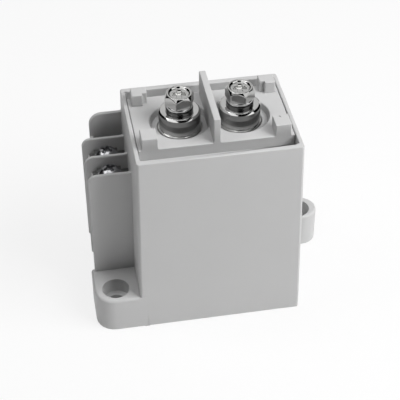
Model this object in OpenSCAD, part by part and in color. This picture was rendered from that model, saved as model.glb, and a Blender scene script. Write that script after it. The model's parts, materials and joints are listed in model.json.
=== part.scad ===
// High voltage dc contactor: moulded case with two screw terminals on top,
// two coil terminals on the left side and a sealed plunger mechanism inside.
// X runs along the front face, Y from front to rear, Z up from the mounting plane.

/* [Case] */
// Length of the case along the front face, at the rim
case_l = 45.6; // [45:0.1:50]
// Width of the case from front to rear, at the rim
case_w = 36; // [34:0.1:40]
// Height of the case rim above the base
case_h = 59.7; // [57:0.1:64]
// Thickness of the left and right walls at the rim
side_wall = 1.2; // [1:0.1:1.8]
// Thickness of the front and rear walls at the rim
end_wall = 1.8; // [1.2:0.1:2.4]
// Thickness of the floor
floor_t = 2; // [1.5:0.1:3]
// Distance that the left and right walls stand out at the base, for draft
side_draft = 0.9; // [0:0.1:1.2]
// Distance that the front and rear walls stand out at the base, for draft
end_draft = 0.4; // [0:0.1:1]
// Chamfer of the upright corners
corner_chamfer = 0.5; // [0.2:0.1:1]

/* [Mounting lugs] */
// Distance between the mounting holes along X
mount_span_x = 60; // [58:0.5:64]
// Distance between the mounting holes along Y
mount_span_y = 26; // [22:0.5:28]
// Diameter of the mounting holes
mount_hole_d = 4.5; // [4:0.1:5.5]
// Diameter of the counterbores for the screw heads
mount_bore_d = 7.9; // [7:0.1:9]
// Depth of the counterbores
mount_bore_depth = 4.6; // [3:0.1:7]
// Height of the lugs
lug_h = 11.5; // [9:0.5:14]
// Reach of each lug past its hole
lug_past_hole = 6.2; // [5.5:0.1:8]
// Corner radius of the left lug
lug_r = 5.5; // [3:0.1:5.5]
// Width of the right lug, round at its end
right_lug_w = 9.8; // [9:0.1:12]

/* [Coil terminal block] */
// Front face of the first fin
fin_front_y = -4.8; // [-5.5:0.1:-4]
// Distance from one fin to the next
fin_pitch = 8.6; // [8.2:0.1:9]
// Thickness of the fins
fin_t = 1; // [0.8:0.1:1.3]
// Reach of the fins from the middle of the case
fin_reach = 35.2; // [34.4:0.1:36.4]
// Height of the fin tops
fin_top = 47; // [46.2:0.1:50]
// Corner radius of the fins
fin_r = 2.4; // [1:0.1:4]
// Reach of the rear plate from the middle of the case
rear_plate_reach = 32.4; // [30:0.1:34]
// Height of the rear plate
rear_plate_top = 52.5; // [49:0.1:55]
// Thickness of the rear plate
rear_plate_t = 1.2; // [1:0.1:1.6]
// Corner radius of the rear plate
rear_plate_r = 3.7; // [1:0.1:5]
// Drop of the end wall behind the last fin below the fin tops
end_wall_drop = 2.1; // [0:0.1:3]
// Height of the seats under the coil terminals
seat_top = 41.7; // [39:0.1:42]
// Setback of the seats from the fin edges
seat_setback = 1.6; // [0.8:0.1:2.4]

/* [Coil terminals] */
// Distance of the coil screws outwards from the middle of their seats
coil_screw_shift = 0.3; // [0:0.1:0.6]
// Thread diameter of the coil screws
coil_screw_d = 3.5; // [3:0.1:4]
// Head diameter of the coil screws
coil_head_d = 6.6; // [6:0.1:7]
// Head height of the coil screws
coil_head_h = 2.6; // [2:0.1:3]
// Length of the coil screws under the head
coil_screw_l = 8; // [6:0.5:10]
// Thickness of the coil terminal plates
coil_plate_t = 1; // [0.8:0.1:1.2]
// Gap between the coil terminal plates and the fins
coil_plate_gap = 0.8; // [0.5:0.1:1.2]
// Thickness of the square clamp washers
clamp_t = 0.9; // [0.7:0.1:1.2]
// Gap between the square clamp washers and the fins
clamp_gap = 0.4; // [0.3:0.1:0.8]
// Diameter of the coil lead wires
lead_d = 1; // [0.6:0.1:1.4]

/* [Top cover] */
// Drop of the cover's top below the case rim
cover_drop = 0.2; // [0:0.1:0.6]
// Thickness of the cover's top
cover_t = 2.7; // [1.6:0.1:3.2]
// Room between the chamber and the cover's front skirt
front_room = 0.3; // [0.2:0.1:0.8]
// Room between the chamber and the cover's rear skirt
rear_room = 1.5; // [0.8:0.1:2]
// Thickness of the cover's skirts
skirt_t = 1.2; // [0.9:0.1:1.4]
// Depth of the trenches in front of and behind the raised middle
trench_depth = 5.5; // [4:0.1:7]
// Thickness of the trench floors
trench_floor_t = 1.4; // [1:0.1:2]
// Height of the insulating barrier above the cover
barrier_h = 7.7; // [5:0.1:9]
// Thickness of the insulating barrier
barrier_t = 1.9; // [1.4:0.1:2.4]
// Length of the insulating barrier
barrier_l = 23.7; // [22:0.1:24.6]
// Height of the corner blocks above the cover
block_h = 3.6; // [2:0.1:5]
// Length of the corner blocks along X
block_l = 4.4; // [3.6:0.1:5]
// Depth of the front corner blocks along Y
front_block_w = 4.9; // [4:0.1:6]
// Depth of the rear corner blocks along Y
rear_block_w = 4.3; // [3.5:0.1:5]
// Distance of the corner blocks from the cover's side edges
block_inset = 1; // [0.6:0.1:1.6]
// Width of the set-back ear on each rear block
ear_l = 1.4; // [0.8:0.1:2]
// Setback of the ears
ear_setback = 1.1; // [0.5:0.1:2]
// Diameter of the round recesses for the main terminals
recess_d = 16.8; // [15.6:0.1:17.2]
// Depth of the round recesses
recess_depth = 1.7; // [0.6:0.1:2]
// Slope of the recess walls, from their foot to the cover's top
recess_slope = 0.6; // [0:0.1:0.8]
// Diameter of the moulding mark on the front right block
gate_mark_d = 0.8; // [0.5:0.1:1.2]

/* [Main terminals] */
// Distance between the main terminals
terminal_span = 16.8; // [16.4:0.1:18]
// Diameter of the terminal collars
collar_d = 11.6; // [10.6:0.1:12]
// Height of the collars above their flanges
collar_h = 5.4; // [3:0.1:6.5]
// Chamfer of the collars
collar_chamfer = 0.5; // [0.1:0.1:0.8]
// Diameter of the terminal flanges
flange_d = 12.1; // [12.1:0.1:13]
// Thickness of the terminal flanges
flange_t = 1.2; // [0.8:0.1:2]
// Diameter of the terminal stems
stem_d = 8.4; // [7:0.1:9]
// Diameter of the terminal threads
bolt_d = 5; // [4:0.1:5.4]
// Width across the flats of the bolt heads
bolt_af = 7.6; // [7:0.1:8.2]
// Diameter to which the corners of the bolt heads are turned
bolt_corner_d = 8.7; // [8:0.1:9]
// Height of the bolt heads
bolt_head_h = 3.5; // [2.8:0.1:4]
// Length of the bolts under the head
bolt_l = 9; // [7:0.5:10]
// Thickness of the spring washers
spring_washer_t = 1.2; // [0.8:0.1:1.6]
// Thickness of the flat washers
flat_washer_t = 0.8; // [0.5:0.1:1.2]
// Outer diameter of the washers
washer_d = 7.6; // [7.4:0.1:9]

/* [Contact chamber] */
// Room between the ceramic chamber and each side wall
chamber_room = 3.4; // [3.4:0.1:4.4]
// Width of the ceramic chamber
chamber_w = 20.6; // [18:0.1:21]
// Height of the ceramic chamber
chamber_h = 15.8; // [15:0.1:18]
// Wall thickness of the ceramic chamber
chamber_wall = 2; // [1.5:0.1:2.5]
// Thickness of the chamber's top
chamber_top_t = 3; // [2:0.1:4]
// Height of the metal flange under the chamber
chamber_flange_h = 3; // [2:0.1:4]
// Sheet thickness of the chamber flange
chamber_flange_t = 0.6; // [0.4:0.1:1]
// Thickness of the arc magnets
magnet_t = 2.4; // [1.6:0.1:2.6]
// Length of the arc magnets
magnet_l = 24; // [18:0.5:28]
// Sheet thickness of the magnet yoke
magnet_yoke_t = 1; // [0.8:0.1:1.2]

/* [Contacts] */
// Open gap between the contacts
contact_gap = 1.75; // [1.2:0.05:2.4]
// Travel of the plunger after the contacts meet
overtravel = 0.5; // [0.3:0.05:0.8]
// Thickness of the contact bridge
bridge_t = 1.5; // [1:0.1:2]
// Width of the contact bridge
bridge_w = 8; // [7:0.1:10]
// Diameter of the contact pads
pad_d = 6; // [4:0.1:7]
// Thickness of the contact pads
pad_t = 0.55; // [0.3:0.05:0.8]
// Length of the contact spring when open
contact_spring_l = 4; // [3.5:0.1:5]

/* [Magnet and plunger] */
// Thickness of the U yoke
yoke_t = 2; // [1.6:0.1:2.2]
// Setback of the U yoke's sides from the bobbin's edge
yoke_setback = 0.6; // [0.4:0.1:2]
// Thickness of the yoke plate
yoke_plate_t = 3; // [2:0.1:3.4]
// Room between the yoke plate and each side wall
yoke_plate_room = 2.6; // [2.4:0.1:4]
// Outer diameter of the core tube
core_tube_d = 12.7; // [12:0.1:13.2]
// Wall thickness of the core tube
core_tube_t = 0.5; // [0.4:0.1:0.6]
// Thickness of the rubber pad under the plunger
damper_t = 1.8; // [1:0.1:2.4]
// Length of the plunger
plunger_l = 15; // [13:0.1:16]
// Diameter of the shaft
shaft_d = 3; // [2.6:0.1:3.2]
// Height of the iron sleeve round the core tube
sleeve_h = 10; // [6:0.5:14]
// Wall thickness of the iron sleeve
sleeve_t = 1.6; // [1:0.1:2]
// Wall thickness of the bobbin
bobbin_t = 1; // [0.8:0.1:1.4]
// Thickness of the bobbin flanges
bobbin_flange_t = 1.2; // [1:0.1:1.6]

/* [Hidden] */
$fn = 64;

// Clearances
fit_gap = 0.15;
running_gap = 0.05;
thread_gap = 0.05;
slide_gap = 0.3;
cut = 1;

// Case
inner_l = case_l - 2 * side_wall;
inner_w = case_w - 2 * end_wall;
rear_y = case_w / 2;
base_front_y = -case_w / 2 - end_draft;
base_rear_y = case_w / 2 + end_draft;
lug_reach = mount_span_x / 2 + lug_past_hole;
right_lug_r = right_lug_w / 2;

// Coil terminal block
fin_last_y = fin_front_y + 2 * fin_pitch;
bay_w = fin_pitch - fin_t;
coil_plate_w = bay_w - 2 * coil_plate_gap;
clamp_w = bay_w - 2 * clamp_gap;
front_bay_y = fin_front_y + fin_t + bay_w / 2;
rear_bay_y = front_bay_y + fin_pitch;
seat_reach = fin_reach - seat_setback;
coil_screw_x = (case_l / 2 + seat_reach) / 2 + coil_screw_shift;
plate_top = seat_top + coil_plate_t;
clamp_top = plate_top + clamp_t;
tail_inset = 0.7;
tail_drop = 4.6;
tail_x = -inner_l / 2 + tail_inset;
tail_bottom = seat_top - tail_drop;
plate_setback = 0.4;
clamp_lip = 0.8;
well_gap = 0.35;
well_end = 1;
screw_well_d = coil_screw_d + 2 * well_gap;
screw_well_depth = coil_screw_l + well_end;
pan_edge = 0.45;
pan_cross_l = 0.56;
pan_cross_w = 0.9;
pan_cross_depth = 1.5;
coil_turn = [25, 60];

// Top cover
cover_top = case_h - cover_drop;
cover_under = cover_top - cover_t;
cover_l = inner_l - 2 * fit_gap;
cover_w = inner_w - 2 * fit_gap;
cover_front_y = -chamber_w / 2 - front_room - skirt_t;
cover_rear_y = chamber_w / 2 + rear_room + skirt_t;
trench_z = cover_top - trench_depth;
recess_z = cover_top - recess_depth;
post_gap = 0.2;
gate_mark_depth = 0.3;
gate_mark_x = cover_l / 2 - block_inset - block_l / 2 - gate_mark_d / 2;
gate_mark_y = cover_front_y + front_block_w - gate_mark_d;
post_hole_d = flange_d + 2 * post_gap;

// Main terminals
terminal_x = terminal_span / 2;
post_seat = cover_under;
collar_bottom = post_seat + flange_t;
collar_top = collar_bottom + collar_h;
flat_washer_top = collar_top + flat_washer_t;
head_bottom = flat_washer_top + spring_washer_t;
bolt_turn = [10, 41];
split_turn = [120, 20];
split_w = 0.5;
split_slant = 30;
spring_washer_inset = 0.15;
head_chamfer = 0.15;
head_chamfer_rise = 1.8;
head_root = 0.5;
dish_d = 0.76;
dish_depth = 0.5;
dish_slope = 0.3;
bolt_cross_l = 0.52;
bolt_cross_w = 0.95;
bolt_cross_depth = 1.3;

// Magnet stack
yoke_bottom = floor_t;
yoke_top = cover_under - chamber_h - chamber_flange_h - yoke_plate_t;
leg_inner = inner_w / 2 - slide_gap - yoke_t;
bobbin_d = 2 * (leg_inner - slide_gap);
yoke_l = bobbin_d - 2 * yoke_setback;
plate_bottom = yoke_top;
yoke_plate_l = inner_l - 2 * yoke_plate_room;
yoke_plate_top = yoke_top + yoke_plate_t;
tube_bottom = yoke_bottom + slide_gap;
tube_floor = tube_bottom + core_tube_t;
tube_inner_d = core_tube_d - 2 * core_tube_t;
tube_lip_w = 2.5;
tube_lip_d = core_tube_d + 2 * tube_lip_w;
plunger_bottom = tube_floor + damper_t;
plunger_top = plunger_bottom + plunger_l;
plunger_d = tube_inner_d - 2 * slide_gap;
closed_gap = 0.05;
stroke = contact_gap - closed_gap + overtravel;
core_gap = 0.2;
core_bottom = plunger_top + stroke + core_gap;
core_d = tube_inner_d - 2 * running_gap;
core_head_w = 2;
core_head_d = core_d + 2 * core_head_w;
core_head_t = 1;
sleeve_d = core_tube_d + 2 * running_gap + 2 * sleeve_t;
bobbin_bore_d = sleeve_d + 2 * fit_gap;
barrel_d = bobbin_bore_d + 2 * bobbin_t;
bobbin_bottom = yoke_bottom + yoke_t;
bobbin_top = yoke_top - core_tube_t - slide_gap;
winding_inset = 0.5;
winding_d = bobbin_d - 2 * winding_inset;
winding_bottom = bobbin_bottom + bobbin_flange_t;
winding_top = bobbin_top - bobbin_flange_t;

// Contact chamber
chamber_l = inner_l - 2 * chamber_room;
chamber_bottom = yoke_plate_top + chamber_flange_h;
chamber_top = cover_under;
magnet_lift = 1.5;
magnet_clear = 0.6;
magnet_bottom = chamber_bottom + magnet_lift;
magnet_top = trench_z - trench_floor_t - magnet_clear;
magnet_end_gap = 0.8;
flange_foot = 1.2;
magnet_y = chamber_w / 2;

// Contacts
stem_drop = 2.5;
stem_bottom = chamber_top - chamber_top_t - stem_drop;
pad_top = stem_bottom - contact_gap;
bridge_top = pad_top - pad_t;
bridge_bottom = bridge_top - bridge_t;
bridge_margin = 1;
bridge_l = terminal_span + pad_d + 2 * bridge_margin;
pad_root = 0.2;
seat_ring_top = bridge_bottom - contact_spring_l;
seat_ring_t = 0.8;
seat_ring_d = 9;
clip_t = 0.6;
clip_d = 6;
clip_mouth = 0.8;
shaft_floor = 3;
shaft_tip = 1;
shaft_bottom = plunger_bottom + shaft_floor;
shaft_top = bridge_top + clip_t + shaft_tip;

// Springs
return_wire_d = 0.7;
return_mean_d = 5.6;
return_turns = 6;
pocket_gap = 0.45;
return_pocket_d = return_mean_d + return_wire_d + 2 * pocket_gap;
return_pocket_depth = 4.5;
return_bottom = plunger_top - return_pocket_depth;
return_top = core_bottom + return_pocket_depth;
contact_wire_d = 0.8;
contact_mean_d = 6.4;
contact_turns = 2.5;
dead_turns = 0.6;

// Leads
lead_drop = 2;
lead_fall = 5.4;
lead_bend = 2.5;

plastic_grey = [0.69, 0.69, 0.69];
nickel = [0.78, 0.78, 0.77];
iron = [0.55, 0.56, 0.57];

// Points of a quarter arc round a centre, from one angle to the next
function arc_points(centre, r, start, steps = 6) =
    [for (i = [0:steps]) centre + r * [cos(start + 90 * i / steps), sin(start + 90 * i / steps)]];

// Quads between the rings of a swept wire, with flat caps at both ends
function wire_faces(rings, sides) = concat(
    [[for (k = [0:sides - 1]) k]],
    [for (i = [0:rings - 2], k = [0:sides - 1]) let (n = (k + 1) % sides)
        [i * sides + k, (i + 1) * sides + k, (i + 1) * sides + n, i * sides + n]],
    [[for (k = [sides - 1:-1:0]) (rings - 1) * sides + k]]
);

// Block between two sloping sides, seen along one level direction
module sloping_slab(base_half, top_half, turn) {
    depth = case_l + case_w + 2 * side_draft;
    rotate([90, 0, turn])
        translate([0, 0, -depth / 2])
            linear_extrude(depth)
                polygon([[-base_half, 0], [base_half, 0], [top_half, case_h], [-top_half, case_h]]);
}

// Outside of the case: sloping sides and ends, with chamfered upright corners
module case_block() {
    top_corner = (case_l / 2 + case_w / 2 - corner_chamfer) / sqrt(2);
    base_corner = top_corner + (side_draft + end_draft) / sqrt(2);
    intersection() {
        sloping_slab(case_l / 2 + side_draft, case_l / 2, 0);
        sloping_slab(case_w / 2 + end_draft, case_w / 2, 90);
        sloping_slab(base_corner, top_corner, 45);
        sloping_slab(base_corner, top_corner, -45);
    }
}

// Upright plate in the XZ plane with a round upper left corner
module fin(reach, bottom, top, r, t) {
    outline = concat(
        [[-case_l / 2 + cut, bottom], [-case_l / 2 + cut, top]],
        arc_points([-reach + r, top - r], r, 90),
        [[-reach, bottom]]
    );
    rotate([90, 0, 0])
        translate([0, 0, -t])
            linear_extrude(t)
                polygon(outline);
}

// Left mounting lug, square where it meets the case and the first fin
module left_lug() {
    outline = concat(
        [[-case_l / 2 + cut, fin_front_y + fin_t], [-lug_reach, fin_front_y + fin_t]],
        arc_points([-lug_reach + lug_r, base_front_y + lug_r], lug_r, 180),
        [[-case_l / 2 + cut, base_front_y]]
    );
    linear_extrude(lug_h)
        polygon(outline);
}

// Right mounting lug, round on both outer corners
module right_lug() {
    outline = concat(
        [[case_l / 2 - cut, base_rear_y - right_lug_w]],
        arc_points([lug_reach - right_lug_r, base_rear_y - right_lug_r], right_lug_r, 270),
        arc_points([lug_reach - right_lug_r, base_rear_y - right_lug_r], right_lug_r, 0),
        [[case_l / 2 - cut, base_rear_y]]
    );
    linear_extrude(lug_h)
        polygon(outline);
}

// Counterbored hole for a mounting screw
module mounting_hole() {
    translate([0, 0, -cut])
        cylinder(d = mount_hole_d, h = lug_h + 2 * cut);
    translate([0, 0, lug_h - mount_bore_depth])
        cylinder(d = mount_bore_d, h = mount_bore_depth + cut);
}

// Seat block that carries both coil terminals between the fins
module terminal_seats() {
    translate([-seat_reach, fin_front_y, lug_h])
        cube([seat_reach - case_l / 2 + cut, fin_last_y - fin_front_y + fin_t, seat_top - lug_h]);
}

// Wall that closes the space between the last fin and the rear plate at its outer end
module bay_end_wall() {
    translate([-rear_plate_reach, fin_last_y, lug_h])
        cube([fin_t, rear_y - rear_plate_t / 2 - fin_last_y, fin_top - end_wall_drop - lug_h]);
}

// Slot in the left wall for one coil terminal plate, with a well for the screw end
module coil_terminal_cut(y) {
    translate([-case_l / 2 - cut, y - coil_plate_w / 2 - fit_gap, seat_top])
        cube([side_wall + 2 * cut, coil_plate_w + 2 * fit_gap, coil_plate_t + fit_gap]);
    translate([-coil_screw_x, y, seat_top - screw_well_depth])
        cylinder(d = screw_well_d, h = screw_well_depth + cut);
}

module case() {
    color(plastic_grey)
        difference() {
            union() {
                case_block();
                left_lug();
                right_lug();
                terminal_seats();
                for (i = [0:2])
                    translate([0, fin_front_y + i * fin_pitch, 0])
                        fin(fin_reach, lug_h, fin_top, fin_r, fin_t);
                translate([0, rear_y - rear_plate_t, 0])
                    fin(rear_plate_reach, lug_h, rear_plate_top, rear_plate_r, rear_plate_t);
                bay_end_wall();
            }
            translate([-inner_l / 2, -inner_w / 2, floor_t])
                cube([inner_l, inner_w, case_h]);
            for (side = [-1, 1])
                translate([side * mount_span_x / 2, side * mount_span_y / 2, 0])
                    mounting_hole();
            for (y = [front_bay_y, rear_bay_y])
                coil_terminal_cut(y);
        }
}

// Raised middle of the cover, hollow underneath
module cover_middle() {
    difference() {
        translate([-cover_l / 2, cover_front_y, trench_z - trench_floor_t])
            cube([cover_l, cover_rear_y - cover_front_y, cover_top - trench_z + trench_floor_t]);
        translate([-cover_l / 2 + skirt_t, cover_front_y + skirt_t, trench_z - trench_floor_t - cut])
            cube([
                cover_l - 2 * skirt_t,
                cover_rear_y - cover_front_y - 2 * skirt_t,
                cover_under - trench_z + trench_floor_t + cut
            ]);
    }
}

// Trench floors that close the case in front of and behind the raised middle
module trench_floors() {
    translate([-cover_l / 2, -cover_w / 2, trench_z - trench_floor_t])
        cube([cover_l, cover_w / 2 + cover_front_y + skirt_t, trench_floor_t]);
    translate([-cover_l / 2, cover_rear_y - skirt_t, trench_z - trench_floor_t])
        cube([cover_l, cover_w / 2 - cover_rear_y + skirt_t, trench_floor_t]);
}

// Front and rear corner blocks of the right half
module corner_blocks() {
    outer_x = cover_l / 2 - block_inset;
    base_z = cover_top - cut;
    translate([outer_x - block_l, cover_front_y, base_z])
        cube([block_l, front_block_w, block_h + cut]);
    translate([outer_x - block_l + ear_l, cover_rear_y - rear_block_w, base_z])
        cube([block_l - ear_l, rear_block_w, block_h + cut]);
    translate([outer_x - block_l, cover_rear_y - rear_block_w + ear_setback, base_z])
        cube([block_l, rear_block_w - ear_setback, block_h + cut]);
}

module barrier() {
    translate([-barrier_t / 2, cover_front_y, cover_under])
        cube([barrier_t, barrier_l, cover_t + barrier_h]);
}

module top_cover() {
    color(plastic_grey)
        union() {
            difference() {
                union() {
                    cover_middle();
                    trench_floors();
                    corner_blocks();
                    mirror([1, 0, 0])
                        corner_blocks();
                }
                for (side = [-1, 1])
                    translate([side * terminal_x, 0, 0]) {
                        translate([0, 0, recess_z])
                            cylinder(d1 = recess_d - 2 * recess_slope, d2 = recess_d, h = recess_depth);
                        translate([0, 0, cover_top])
                            cylinder(d = recess_d, h = cut);
                        translate([0, 0, cover_under - cut])
                            cylinder(d = post_hole_d, h = cover_t + 2 * cut);
                    }
                translate([gate_mark_x, gate_mark_y, cover_top + block_h - gate_mark_depth])
                    cylinder(d = gate_mark_d, h = gate_mark_depth + cut);
            }
            barrier();
        }
}

// Turned copper post: stem in the chamber, flange on its top, collar for the cable lug
module terminal_post(x) {
    color(nickel)
        translate([x, 0, 0])
            difference() {
                rotate_extrude()
                    polygon([
                        [0, stem_bottom],
                        [stem_d / 2, stem_bottom],
                        [stem_d / 2, post_seat],
                        [flange_d / 2, post_seat],
                        [flange_d / 2, collar_bottom],
                        [collar_d / 2, collar_bottom],
                        [collar_d / 2, collar_top - collar_chamfer],
                        [collar_d / 2 - collar_chamfer, collar_top],
                        [0, collar_top]
                    ]);
                translate([0, 0, head_bottom - bolt_l - cut])
                    cylinder(d = bolt_d + 2 * thread_gap, h = bolt_l + 2 * cut);
            }
}

// Cross recess cut, pointing down from its mouth
module cross_recess(l, w, depth) {
    for (turn = [0, 90])
        rotate([0, 0, turn])
            translate([-l / 2, -w / 2, -depth])
                cube([l, w, depth + cut]);
}

// Hexagon bolt with a chamfered, dished head and a cross recess
module terminal_bolt(x, turn) {
    corner_r = bolt_corner_d / 2;
    dish_r = bolt_af * dish_d / 2;
    shoulder_z = bolt_head_h - head_chamfer_rise * (corner_r - bolt_af / 2 + head_chamfer);
    color(nickel)
        translate([x, 0, head_bottom])
            rotate([0, 0, turn])
                union() {
                    difference() {
                        intersection() {
                            cylinder(r = bolt_af / sqrt(3), h = bolt_head_h, $fn = 6);
                            rotate_extrude()
                                polygon([
                                    [0, 0],
                                    [corner_r - head_chamfer, 0],
                                    [corner_r, head_chamfer],
                                    [corner_r, shoulder_z],
                                    [bolt_af / 2 - head_chamfer, bolt_head_h],
                                    [0, bolt_head_h]
                                ]);
                        }
                        translate([0, 0, bolt_head_h - dish_depth])
                            cylinder(r1 = dish_r - dish_slope, r2 = dish_r, h = dish_depth);
                        translate([0, 0, bolt_head_h - dish_depth])
                            cross_recess(bolt_af * bolt_cross_l, bolt_cross_w, bolt_cross_depth);
                    }
                    translate([0, 0, -bolt_l])
                        cylinder(d = bolt_d, h = bolt_l + head_root);
                }
}

// Split lock washer, its slanted gap turned to one side
module spring_washer(x, turn) {
    color(nickel)
        translate([x, 0, flat_washer_top])
            rotate([0, 0, turn])
                difference() {
                    cylinder(d = washer_d - 2 * spring_washer_inset, h = spring_washer_t);
                    translate([0, 0, -cut])
                        cylinder(d = bolt_d + 4 * thread_gap, h = spring_washer_t + 2 * cut);
                    translate([washer_d / 2, 0, spring_washer_t / 2])
                        rotate([split_slant, 0, 0])
                            cube([washer_d, split_w, 4 * spring_washer_t], center = true);
                }
}

module flat_washer(x) {
    color(nickel)
        translate([x, 0, collar_top])
            difference() {
                cylinder(d = washer_d, h = flat_washer_t);
                translate([0, 0, -cut])
                    cylinder(d = bolt_d + 4 * thread_gap, h = flat_washer_t + 2 * cut);
            }
}

// Bent strip: flat in the bay under the screw, through the wall, tail down inside
module coil_terminal(y) {
    outer_x = -seat_reach + plate_setback;
    color(nickel)
        difference() {
            union() {
                translate([outer_x, y - coil_plate_w / 2, seat_top])
                    cube([tail_x + coil_plate_t - outer_x, coil_plate_w, coil_plate_t]);
                translate([tail_x, y - coil_plate_w / 4, tail_bottom])
                    cube([coil_plate_t, coil_plate_w / 2, plate_top - tail_bottom]);
            }
            translate([-coil_screw_x, y, seat_top - cut])
                cylinder(d = coil_screw_d + 2 * thread_gap, h = coil_plate_t + 2 * cut);
        }
}

// Square washer under the screw head, its outer edge lifted to catch the wire
module clamp_washer(y) {
    color(nickel)
        translate([-coil_screw_x, y, plate_top])
            difference() {
                translate([-clamp_w / 2, -clamp_w / 2, 0])
                    cube([clamp_w, clamp_w, clamp_t]);
                translate([0, 0, -cut])
                    cylinder(d = coil_screw_d + 4 * thread_gap, h = clamp_t + 2 * cut);
                translate([-clamp_w / 2 - cut, -clamp_w / 2 - cut, -cut])
                    cube([clamp_lip + cut, clamp_w + 2 * cut, clamp_t / 2 + cut]);
            }
}

// Pan head screw with a domed head and a cross recess
module coil_screw(y, turn) {
    edge_h = coil_head_h * pan_edge;
    dome_h = coil_head_h - edge_h;
    dome_r = (pow(coil_head_d / 2, 2) + pow(dome_h, 2)) / (2 * dome_h);
    color(nickel)
        translate([-coil_screw_x, y, clamp_top])
            rotate([0, 0, turn])
                union() {
                    difference() {
                        intersection() {
                            cylinder(d = coil_head_d, h = coil_head_h);
                            translate([0, 0, coil_head_h - dome_r])
                                sphere(r = dome_r);
                        }
                        translate([0, 0, coil_head_h])
                            cross_recess(coil_head_d * pan_cross_l, pan_cross_w, pan_cross_depth);
                    }
                    translate([0, 0, -coil_screw_l])
                        cylinder(d = coil_screw_d, h = coil_screw_l + head_root);
                }
}

// Round wire from the terminal tail down and across to the winding
module coil_lead(y) {
    sides = 8;
    start_x = tail_x + coil_plate_t / 2;
    near_y = max(abs(y) - lead_d / 2, 0);
    end_x = -sqrt(pow(winding_d / 2, 2) - pow(near_y, 2)) - fit_gap;
    cross_z = min(winding_top - lead_drop, tail_bottom - lead_fall);
    bend_steps = 4;
    path = concat(
        [[start_x, tail_bottom, 180]],
        [for (i = [0:bend_steps]) let (a = 90 * i / bend_steps)
            [start_x + lead_bend * (1 - cos(a)), cross_z + lead_bend * (1 - sin(a)), 180 + a]],
        [[end_x, cross_z, 270]]
    );
    r = lead_d / 2;
    points = [for (p = path, k = [0:sides - 1]) let (a = 360 * k / sides)
        [p[0] + r * sin(a) * cos(p[2]), y + r * cos(a), p[1] + r * sin(a) * sin(p[2])]];
    color([0.72, 0.42, 0.2])
        polyhedron(points, wire_faces(len(path), sides));
}

// Ceramic cup, mouth down, with holes for both posts
module arc_chamber() {
    color([0.9, 0.88, 0.84])
        difference() {
            translate([-chamber_l / 2, -chamber_w / 2, chamber_bottom])
                cube([chamber_l, chamber_w, chamber_top - chamber_bottom]);
            translate([-chamber_l / 2 + chamber_wall, -chamber_w / 2 + chamber_wall, chamber_bottom - cut])
                cube([
                    chamber_l - 2 * chamber_wall,
                    chamber_w - 2 * chamber_wall,
                    chamber_top - chamber_bottom - chamber_top_t + cut
                ]);
            for (side = [-1, 1])
                translate([side * terminal_x, 0, chamber_bottom])
                    cylinder(d = stem_d + 2 * running_gap, h = chamber_top - chamber_bottom + cut);
        }
}

// Thin metal collar brazed to the chamber and welded to the yoke plate
module chamber_flange() {
    inside_l = chamber_l - 2 * chamber_flange_t;
    inside_w = chamber_w - 2 * chamber_flange_t;
    color(iron)
        difference() {
            union() {
                translate([-chamber_l / 2, -chamber_w / 2, yoke_plate_top])
                    cube([chamber_l, chamber_w, chamber_flange_h]);
                translate([-chamber_l / 2 - flange_foot, -chamber_w / 2 - flange_foot, yoke_plate_top])
                    cube([chamber_l + 2 * flange_foot, chamber_w + 2 * flange_foot, chamber_flange_t]);
            }
            translate([-inside_l / 2, -inside_w / 2, yoke_plate_top - cut])
                cube([inside_l, inside_w, chamber_flange_h + 2 * cut]);
        }
}

module magnet(side) {
    color([0.3, 0.3, 0.32])
        translate([0, side * (magnet_y + magnet_t / 2), (magnet_bottom + magnet_top) / 2])
            cube([magnet_l, magnet_t, magnet_top - magnet_bottom], center = true);
}

// Steel strap behind both magnets, closed round the right end of the chamber
module magnet_yoke() {
    inner_y = magnet_y + magnet_t;
    end_x = chamber_l / 2 + magnet_end_gap;
    strap_l = end_x + magnet_l / 2 + magnet_yoke_t;
    color(iron)
        difference() {
            translate([-magnet_l / 2, -inner_y - magnet_yoke_t, magnet_bottom])
                cube([strap_l, 2 * (inner_y + magnet_yoke_t), magnet_top - magnet_bottom]);
            translate([-magnet_l / 2 - cut, -inner_y, magnet_bottom - cut])
                cube([strap_l - magnet_yoke_t + cut, 2 * inner_y, magnet_top - magnet_bottom + 2 * cut]);
        }
}

// U of steel with its legs at front and rear
module yoke_frame() {
    outer = leg_inner + yoke_t;
    color(iron)
        difference() {
            translate([-yoke_l / 2, -outer, yoke_bottom])
                cube([yoke_l, 2 * outer, yoke_top - yoke_bottom]);
            translate([-yoke_l / 2 - cut, -leg_inner, yoke_bottom + yoke_t])
                cube([yoke_l + 2 * cut, 2 * leg_inner, yoke_top]);
            translate([0, 0, yoke_bottom - cut])
                cylinder(d = core_tube_d + 2 * running_gap, h = yoke_t + 2 * cut);
        }
}

module yoke_plate() {
    outer = leg_inner + yoke_t;
    color(iron)
        difference() {
            translate([-yoke_plate_l / 2, -outer, plate_bottom])
                cube([yoke_plate_l, 2 * outer, yoke_plate_t]);
            translate([0, 0, plate_bottom - cut])
                cylinder(d = core_d + 2 * running_gap, h = yoke_plate_t + 2 * cut);
        }
}

// Drawn cup with a lip under the yoke plate
module core_tube() {
    color(nickel)
        rotate_extrude()
            polygon([
                [0, tube_bottom],
                [core_tube_d / 2, tube_bottom],
                [core_tube_d / 2, plate_bottom - core_tube_t],
                [tube_lip_d / 2, plate_bottom - core_tube_t],
                [tube_lip_d / 2, plate_bottom],
                [tube_inner_d / 2, plate_bottom],
                [tube_inner_d / 2, tube_floor],
                [0, tube_floor]
            ]);
}

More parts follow.
